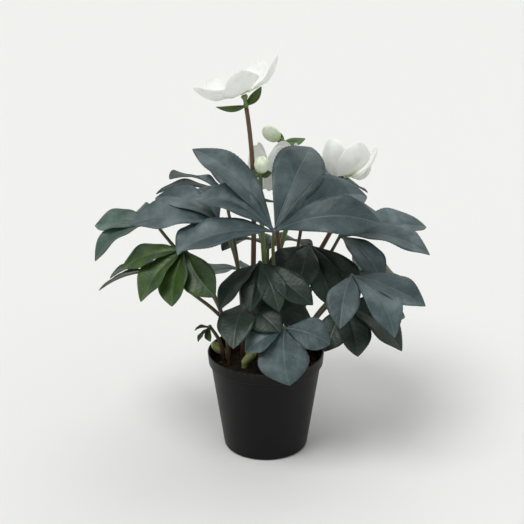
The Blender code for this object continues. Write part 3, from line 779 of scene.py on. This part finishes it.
def sepal_surface(base, axis, turn, size, spread, roll):
    """One cupped sepal: it leaves the axis at the spread angle, rolled so that neighbours overlap."""
    outward = around(axis, turn)
    side_flat = axis.cross(outward)
    length, half_width = size[0] * MM, size[1] * MM / 2

    def half_at(along):
        fullness = 0.55 + 0.45 * max(0, 1 - along / 0.44)
        shoulder = math.sin(math.pi * along**0.85) ** fullness if along < 1 else 0
        return half_width * max(shoulder, 0.2 if along < 0.5 else 0)

    def point_at(along, across):
        open_angle = math.radians(min(spread + 24 * (1 - along) - 20 * along, 86))
        forward = outward * math.sin(open_angle) + axis * math.cos(open_angle)
        lift = axis * math.sin(open_angle) - outward * math.cos(open_angle)
        turned_by = (roll + 0.22 * (1 - along) ** 2) * min(1, 8 * along)
        side = side_flat * math.cos(turned_by) + lift * math.sin(turned_by)
        half = half_at(along)
        cup = SEPAL_CUP * half * across * across * min(1, 2.2 * along)
        wave = SEPAL_WAVE * along * abs(across) ** 3 * math.sin(10 * along + turn * 5 + 2 * across)
        vein = SEPAL_VEIN * math.cos(across * 26) * min(1, 4 * along) * (1 - across * across)
        relief = (wave + vein) * half / half_width
        reach = ROOT_IN_DISC + length * along
        return base + forward * reach + side * half * across + lift * (cup + relief)

    return point_at, half_at


# Sepal tissue: thin, soft and matt white, green where it joins the neck; fine lines run from its foot to
# its edge, and light comes through it.
sepal_skin, tree, shader, white = speckled(
    "sepal_tissue_white", 70, 4, ((0.35, "e3e5de"), (0.55, "eef0ec"), (0.7, "f6f7f4")),
    Roughness=0.55, IOR=1.36, Subsurface_Weight=0.5, Subsurface_Radius=(1, 0.97, 0.85),
    Subsurface_Scale=2 * MM, Sheen_Weight=0.15)
run, side = [
    add_node(tree, "ShaderNodeAttribute", {}, "Fac", attribute_name=label) for label in ("run", "side")]
fan = add_node(tree, "ShaderNodeMath", {0: side, 1: 0.5 / SEPAL_LINES}, operation="PINGPONG")
fan_line = [(fan, 0, 0.16 / SEPAL_LINES), (run, 0.5, 1)]
white = tinted(tree, white, "c6c9b8", 0.3, *fan_line)
white = tinted(tree, white, "bcc98e", 0.75, (run, 0.02, 0.26))
painted(tree, shader, white, faded(tree, 1, *fan_line), -0.2, 0.3 * MM)

# Flower stalks are red-brown and speckled like the petioles, the bracts a fresh leathery green, and the
# neck between them a pale green.
stalk_skin = stem_material("flower_stalk_skin", "5c3a2a", "6a5238", "30211a")
bract_top = leaf_material("bract_skin_top", ("344c24", "415c2c", "527038"), "90a56a", "a9b487", 0.5)
neck_skin = stem_material("neck_skin", "6b7d45", "8a9a5a", "5f7040")

# Stamens: soft cream threads that end in anthers powdered with yellow pollen. Nectaries are fleshy and
# a little glossy, green-yellow.
stamen_skin, tree, shader, anther = speckled(
    "stamen_tissue", 2600, 3, ((0.35, "a89a35"), (0.5, "c9b94a"), (0.65, "e4d878")),
    Roughness=0.6, Subsurface_Weight=0.15, Subsurface_Scale=0.6 * MM)
run = add_node(tree, "ShaderNodeAttribute", {}, "Fac", attribute_name="run")
thread = add_node(tree, "ShaderNodeValToRGB", {"Fac": run}, stops=((0, "d7dcab"), (1, "e6e3a8")))
tip = add_node(tree, "ShaderNodeMapRange", {"Value": run, 1: 0.9, 2: 0.98})
painted(tree, shader, add_node(tree, "ShaderNodeMix", {0: tip, 6: thread, 7: anther}, 2, data_type="RGBA"))

nectary_skin = speckled("nectary_tissue", 500, 2, ((0.35, "7f9433"), (0.65, "b0bd55")), Roughness=0.35)[0]

# Aimed copies: a small shape on each point, turned to the point's aim, spun at random and stretched.
AIMED, given = new_group("aimed_copies", Points="Geometry", Shape="Object", Finish="Material", Seed="Int")
spots = add_node(AIMED, "GeometryNodeMeshToPoints", {"Mesh": given["Points"]})
shape = add_node(
    AIMED, "GeometryNodeObjectInfo", {"Object": given["Shape"], "As Instance": False}, "Geometry")
aim = add_node(AIMED, "GeometryNodeInputNamedAttribute", {"Name": "aim"}, data_type="FLOAT_VECTOR")
length = add_node(AIMED, "GeometryNodeInputNamedAttribute", {"Name": "length"}, data_type="FLOAT")
facing = add_node(AIMED, "FunctionNodeAlignRotationToVector", {"Vector": aim}, axis="Z")
spin = add_node(
    AIMED, "FunctionNodeRandomValue", {3: math.tau, "Seed": given["Seed"]}, 1, data_type="FLOAT")
about = add_node(AIMED, "FunctionNodeAxisAngleToRotation", {"Axis": (0, 0, 1), "Angle": spin})
turned = add_node(
    AIMED, "FunctionNodeRotateRotation", {"Rotation": facing, "Rotate By": about}, rotation_space="LOCAL")
scale = add_node(AIMED, "ShaderNodeCombineXYZ", {"X": 1, "Y": 1, "Z": length})
copies = add_node(
    AIMED, "GeometryNodeInstanceOnPoints",
    {"Points": spots, "Instance": shape, "Rotation": turned, "Scale": scale})
close_group(AIMED, copies, given["Finish"])


def aimed_copies(name, spots, shape, finish, seed):
    """A mesh of copies of the shape; spots are (place, aim, length as a share)."""
    points = bpy.data.meshes.new(name)
    points.from_pydata([spot[0] for spot in spots], [], [])
    points.attributes.new("aim", "FLOAT_VECTOR", "POINT")
    points.attributes.new("length", "FLOAT", "POINT")
    for index, (_, aim, length) in enumerate(spots):
        points.attributes["aim"].data[index].vector = aim
        points.attributes["length"].data[index].value = length
    values = {"Shape": shape, "Finish": finish, "Seed": seed}
    return through_nodes(scene_object(name, points), AIMED, values)


# One stamen: a thin cream thread 10 mm long that bows a little, with a flat yellow anther across its end.
thread_line = [Vector((0.9 * MM * (step / 5) ** 2, 0, 10 * MM * step / 5)) for step in range(6)]
thread_radii = [(0.2 - 0.018 * step) * MM for step in range(6)]
thread_mesh = tube_mesh("thread", thread_line, thread_radii, 5)
for value in thread_mesh.attributes["run"].data:
    value.value *= 0.85
anther_radii = (1.0 * MM, 0.55 * MM, 0.5 * MM)
anther_mesh = ball_mesh("anther", thread_line[-1] + UP * 0.25 * MM, anther_radii, UP, 8, 5)
for value in anther_mesh.attributes["run"].data:
    value.value = 1
stamen_shape = scene_object("stamen_shape", joined("stamen_shape", [thread_mesh, anther_mesh]), stamen_skin)

# One nectary: a short flared tube 4 mm long, with a flat end.
nectary_line = [Vector((0, 0, height * MM)) for height, _ in NECTARY_FLARE]
nectary_mesh = tube_mesh("nectary_shape", nectary_line, [radius * MM for _, radius in NECTARY_FLARE], 8)
nectary_shape = scene_object("nectary_shape", nectary_mesh, nectary_skin)

for number, bloom in enumerate(BLOOMS):
    axis = direction(bloom.axis[0], 90 - bloom.axis[1])
    head = place_at(bloom.head)
    rising = (axis + UP * 1.3).normalized()
    knot = head - rising * NECK
    path = stem_path(bloom.root, knot - rising * KNOT_RADIUS * 0.5, rising, 34)
    stem = tube_mesh(bloom.name + "_stem", path, tapered(STALK_RADIUS, STALK_TAPER, len(path)), 14)
    grown(bloom.name + "_stem", stem, bloom.name + "_stalk", "flower_stalk", stalk_skin)

    neck_line = [knot + rising * offset * MM for offset, _ in NECK_SHAPE]
    neck_line += [head + axis * offset * MM for offset, _ in HEAD_SHAPE]
    meshes = [tube_mesh("neck", neck_line, [radius * MM for _, radius in NECK_SHAPE + HEAD_SHAPE], 16, 2)]
    for bract in bloom.bracts:
        meshes.append(sheet_mesh("bract", *bract_surface(knot, axis, bract), 24, 8, BLADE_THICKNESS))
    neck = joined(bloom.name + "_neck", meshes)
    grown(bloom.name + "_neck", neck, bloom.name + "_bracts", "bract", bract_top, leaf_under, neck_skin)

    sheet_base = head + axis * (HEAD_RADIUS * 0.85 + GAP + RECEPTACLE_HEIGHT)
    roll = 0.16 + (74 - bloom.spread) * 0.009
    disc = (RECEPTACLE_RADIUS, RECEPTACLE_RADIUS, RECEPTACLE_HEIGHT)
    meshes = [ball_mesh("disc", sheet_base, disc, axis, 20, 8)]
    for index in range(SEPALS):
        turn = math.tau * index / SEPALS + 0.3
        surface = sepal_surface(sheet_base, axis, turn, bloom.sepal, bloom.spread, roll)
        meshes.append(sheet_mesh("sepal", *surface, 26, 18, SEPAL_THICKNESS, crowd=1))
    sepals = joined(bloom.name + "_petalled", meshes)
    grown(bloom.name + "_petalled", sepals, bloom.name + "_sepals", "sepal", sepal_skin, sepal_skin)

    base = sheet_base + axis * (RECEPTACLE_HEIGHT + GAP)
    draw = random.Random(bloom.name)
    spots = []
    for index in range(STAMENS):
        share = math.sqrt((index + 6) / (STAMENS + 6))
        outward = around(axis, index * GOLDEN_ANGLE)
        lean = math.radians(6 + bloom.lean * share * draw.uniform(0.85, 1.1))
        aim = outward * math.sin(lean) + axis * math.cos(lean)
        foot = base + axis * 1.1 * MM + outward * 2.7 * MM * share
        spots.append((foot, aim, 1.12 - 0.24 * share + draw.uniform(-0.1, 0.1)))
    meshes = [aimed_copies("stamens", spots, stamen_shape, stamen_skin, number)]
    spots = []
    for index in range(NECTARIES):
        outward = around(axis, math.tau * index / NECTARIES)
        aim = (outward * 1.1 + axis).normalized()
        spots.append((base + axis * 0.7 * MM + outward * 2.9 * MM, aim, draw.uniform(0.85, 1.1)))
    meshes.append(aimed_copies("nectaries", spots, nectary_shape, nectary_skin, number))
    for index in range(CARPELS):
        outward = around(axis, math.tau * index / CARPELS + 0.4)
        foot = base + axis * 2 * MM + outward * 0.9 * MM
        line = [foot + axis * rise * MM + outward * away * MM for rise, away, _ in CARPEL_SHAPE]
        meshes.append(tube_mesh("carpel", line, [radius * MM for _, _, radius in CARPEL_SHAPE], 8))
    meshes.append(ball_mesh("cushion", base + axis * CUSHION[2], CUSHION, axis, 16, 8))
    tuft = joined(bloom.name + "_tuft", meshes)
    grown(bloom.name + "_tuft", tuft, bloom.name + "_stamens", "stamen", stamen_skin, nectary_skin)

for spare in (stamen_shape, nectary_shape):
    bpy.data.objects.remove(spare)

# Buds: closed flowers on green stalks that nod a little. Each has two small bracts, and a firm white-green
# head of five sepals wrapped one over the next.
BUD_NECK = 4 * MM
BUD_WAIST = 0.68
BUD_TOP = (2.0 * MM, 2.5 * MM, 2.3 * MM)

Bud = namedtuple("Bud", "name root head axis length bracts")

BUDS = (
    Bud("bud_front", (2, 4), (-5, 10, 292), (275, 40), 21, ((190, 15, 12, 9, 0), (340, 15, 12, 9, 0))),
    Bud("bud_back", (-6, 24), (16, 92, 304), (200, 55), 22, ((150, 30, 20, 10, 0), (20, 5, 24, 12, 0.5))),
)

# Bud tissue: the same soft skin as a sepal's, still green at its foot.
bud_skin, tree, shader, green = speckled(
    "bud_tissue", 160, 4, ((0.35, "d5dfc0"), (0.6, "e9efdc")),
    Roughness=0.5, IOR=1.38, Subsurface_Weight=0.2, Subsurface_Scale=1.2 * MM)
run = add_node(tree, "ShaderNodeAttribute", {}, "Fac", attribute_name="run")
painted(tree, shader, tinted(tree, green, "a9bb7c", 1, (run, 0.05, 0.5)))


def wrapped_meshes(centre, axis, half, waist, count, layers, lap):
    """Closed scales round an egg-shaped core, each with one edge under its neighbour by the lap."""
    meshes = [ball_mesh("core", centre, (waist * 0.93, waist * 0.93, half * 0.95), axis)]

    def half_at(along):
        return waist * 0.9 * max(0.15, math.sin(math.pi * min(1, 0.1 + along * 0.9)) ** 0.7)

    for layer in range(layers):
        reach = 1 - 0.28 * layer
        for index in range(count):
            turn = math.tau * (index + 0.5 * layer) / count

            def point_at(along, across, turn=turn, reach=reach, layer=layer):
                height = -math.cos(math.pi * (0.06 + 0.94 * along * reach))
                girth = math.sqrt(max(0, 1 - height * height)) * waist
                lapped = 1 + lap * across + lap * 0.7 * layer
                narrow = math.sin(math.pi * min(1, 0.12 + along * 0.88)) ** 0.55
                swing = turn + across * (math.pi / count) * 1.45 * (0.25 + 0.75 * narrow)
                return centre + axis * height * half + around(axis, swing) * girth * lapped

            meshes.append(sheet_mesh("scale", point_at, half_at, 14, 8, 0.35 * MM, crowd=1))
    return meshes


for bud in BUDS:
    axis = direction(bud.axis[0], 90 - bud.axis[1])
    head = place_at(bud.head)
    path = stem_path(bud.root, head + axis * 1.5 * MM, axis, 30)
    radii = tapered(STALK_RADIUS, STALK_TAPER, len(path))
    radii[-3:] = BUD_TOP
    meshes = [tube_mesh("stem", path, radii, 14, 2)]
    for bract in bud.bracts:
        surface = bract_surface(head - axis * BUD_NECK, axis, bract)
        meshes.append(sheet_mesh("bract", *surface, 20, 8, BLADE_THICKNESS))
    stem = joined(bud.name + "_stem", meshes)
    grown(bud.name + "_stem", stem, bud.name + "_stalk", "bract", bract_top, leaf_under, neck_skin)
    half = bud.length * MM / 2
    centre = head + axis * (half + KNOT_RADIUS * 0.85 + GAP)
    meshes = wrapped_meshes(centre, axis, half, half * BUD_WAIST, 5, 1, 0.045)
    wrapped = joined(bud.name + "_wrapped", meshes)
    grown(bud.name + "_wrapped", wrapped, bud.name + "_head", "bud", bud_skin, bud_skin)

# Shoots: short fat pale shoots that break from the crown beside the old stalks. They are the plant's own
# growth, rooted in the peat, and their tips are wrapped in two layers of overlapping scales.
SHOOT_RISE = 6 * MM
SHOOT_WAIST = 0.48

Shoot = namedtuple("Shoot", "name root lean length")

SHOOTS = (
    Shoot("shoot_left", (-43, 6), (190, 46), 18),
    Shoot("shoot_front", (-22, -16), (20, 50), 17),
    Shoot("shoot_right", (34, -34), (150, 35), 18),
    Shoot("shoot_back", (12, 44), (250, 40), 16),
)

# Shoot scales: fleshy, waxy and pale yellow-green, browner where they leave the peat.
shoot_skin, tree, shader, pale = speckled(
    "shoot_scale", 200, 4, ((0.3, "8d9655"), (0.55, "adb576"), (0.75, "ccd39c")),
    Roughness=0.5, Subsurface_Weight=0.1, Subsurface_Scale=0.8 * MM)
run = add_node(tree, "ShaderNodeAttribute", {}, "Fac", attribute_name="run")
painted(tree, shader, tinted(tree, pale, "8a7a4e", 1, (run, 0, 0.3)))

for shoot in SHOOTS:
    axis = direction(shoot.lean[0], 90 - shoot.lean[1])
    top = Vector((shoot.root[0] * MM, shoot.root[1] * MM, SOIL_TOP + SHOOT_RISE))
    half = shoot.length * MM / 2
    waist = half * SHOOT_WAIST
    line = [top - UP * (HOLE_DEPTH + SHOOT_RISE - 0.5 * MM), top - UP * SHOOT_RISE, top - UP * 3 * MM]
    line += [top - UP * 0.6 * MM + axis * 0.4 * MM, top + axis * 2.2 * MM, top + axis * 5 * MM]
    girths = [STALK_RADIUS * 0.98] * 2 + [STALK_RADIUS * 1.02, waist * 0.82, waist * 0.96, waist * 0.9]
    meshes = [tube_mesh("stem", line, girths, 16)]
    meshes += wrapped_meshes(top + axis * half, axis, half, waist, 3, 2, 0.08)
    scales = joined(shoot.name + "_scales", meshes)
    grown(shoot.name + "_scales", scales, shoot.name, "shoot", shoot_skin, shoot_skin)

# The studio: a pale plain floor that sweeps up far behind the plant on every side, a pale sky and two
# broad soft lights from above. The camera looks down a little, as the photo does.
FLAT_REACH = 3
SWEEP_RADIUS = 6
SWEEP_STEPS = 15
SWEEP_CLIMB = 75
CAMERA_PLACE = Vector((0, -1.142, 0.613))
CAMERA_TARGET = Vector((-0.004, 0.01, 0.198))

world = bpy.data.worlds.new("studio")
world.use_nodes = True
sky = world.node_tree.nodes["Background"].inputs
sky["Color"].default_value = linear("f2f3f5")
sky["Strength"].default_value = 0.55
bpy.context.scene.world = world

# The floor is plain matt paper, near white, with nothing on it to draw the eye.
floor_line = [(0, 0)]
for step in range(SWEEP_STEPS + 1):
    climb = math.radians(SWEEP_CLIMB) * step / SWEEP_STEPS
    floor_line.append((FLAT_REACH + SWEEP_RADIUS * math.sin(climb), SWEEP_RADIUS * (1 - math.cos(climb))))
floor_mesh = turned_mesh("floor", floor_line, 96)
floor_mesh.shade_smooth()
floor_finish = new_material("floor_paper", Roughness=0.9, Base_Color=linear("dededb"))[0]
scene_object("floor", floor_mesh, floor_finish)

for name, spot, spread, strength in (
    ("key_light", (-0.6, -0.7, 1.8), 34, 1.8),
    ("back_light", (0.5, 1.2, 1.6), 50, 0.65),
):
    lamp_data = bpy.data.lights.new(name, "SUN")
    lamp_data.angle = math.radians(spread)
    lamp_data.energy = strength
    lamp = scene_object(name, lamp_data)
    lamp.location = spot
    lamp.rotation_euler = (-Vector(spot)).to_track_quat("-Z", "Y").to_euler()

camera_data = bpy.data.cameras.new("camera")
camera_data.lens = 83
camera_data.sensor_width = 36
camera = scene_object("camera", camera_data)
camera.location = CAMERA_PLACE
camera.rotation_euler = (CAMERA_TARGET - CAMERA_PLACE).to_track_quat("-Z", "Y").to_euler()
bpy.context.scene.camera = camera
bpy.context.scene.view_settings.view_transform = "Standard"
